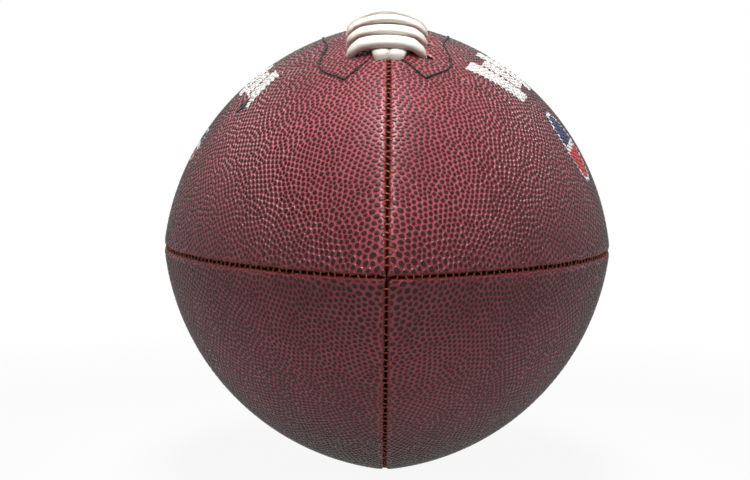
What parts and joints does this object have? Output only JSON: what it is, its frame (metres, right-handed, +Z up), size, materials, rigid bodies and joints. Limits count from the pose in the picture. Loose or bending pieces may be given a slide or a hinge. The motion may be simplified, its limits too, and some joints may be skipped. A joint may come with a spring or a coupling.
{
  "type": "american football",
  "caption": "Inflated pointed-oval leather ball of sewn pebbled panels, with a raised lace along the top seam, a lining, a rubber bladder and an air valve.",
  "frame": {"origin": "on the ground under the ball's centre, at the lowest point of the bottom seam", "axes": "+Y along the ball from the pictured tip to the other, +Z up through the lacing, +X to the right of a viewer at the near tip"},
  "size_m": [0.1746, 0.285, 0.1794],
  "materials": {
    "pebbled_leather": "pebbled, semi-matt tanned leather, dark brown pebble tops over red-brown valleys",
    "lining_cloth": "plain woven cotton, laminated",
    "lining_thread": "waxed thread",
    "seam_thread": "rust-coloured waxed thread",
    "facing_thread": "black waxed thread",
    "facing": "plain split leather",
    "lace": "smooth white vinyl lace, satin",
    "bladder_rubber": "moulded rubber, matt",
    "valve_rubber": "moulded rubber, satin"
  },
  "bodies": {
    "ball": {"panel_upper_left": "pebbled_leather", "panel_upper_right": "pebbled_leather", "panel_lower_left": "pebbled_leather", "panel_lower_right": "pebbled_leather", "lining_upper_left": "lining_cloth", "lining_upper_right": "lining_cloth", "lining_lower_left": "lining_cloth", "lining_lower_right": "lining_cloth", "lining_stitching_upper_left": "lining_thread", "lining_stitching_upper_right": "lining_thread", "lining_stitching_lower_left": "lining_thread", "lining_stitching_lower_right": "lining_thread", "seam_stitching_top_front": "seam_thread", "seam_stitching_top_rear": "seam_thread", "seam_stitching_bottom": "seam_thread", "seam_stitching_left": "seam_thread", "seam_stitching_right": "seam_thread", "lace_facing_left": "facing", "facing_stitching_left": "facing_thread", "lace_facing_right": "facing", "facing_stitching_right": "facing_thread", "lace": "lace", "lace_tongue": "facing", "bladder": "bladder_rubber", "valve_housing": "valve_rubber", "valve_backing": "facing"},
    "plug": {"valve_plug": "valve_rubber"}
  },
  "joints": [
    {"name": "plug_pull", "type": "slide", "parent": "ball", "child": "plug", "axis": [-0.6842, -0.2527, 0.6842], "range_m": [0, 0.02]}
  ]
}
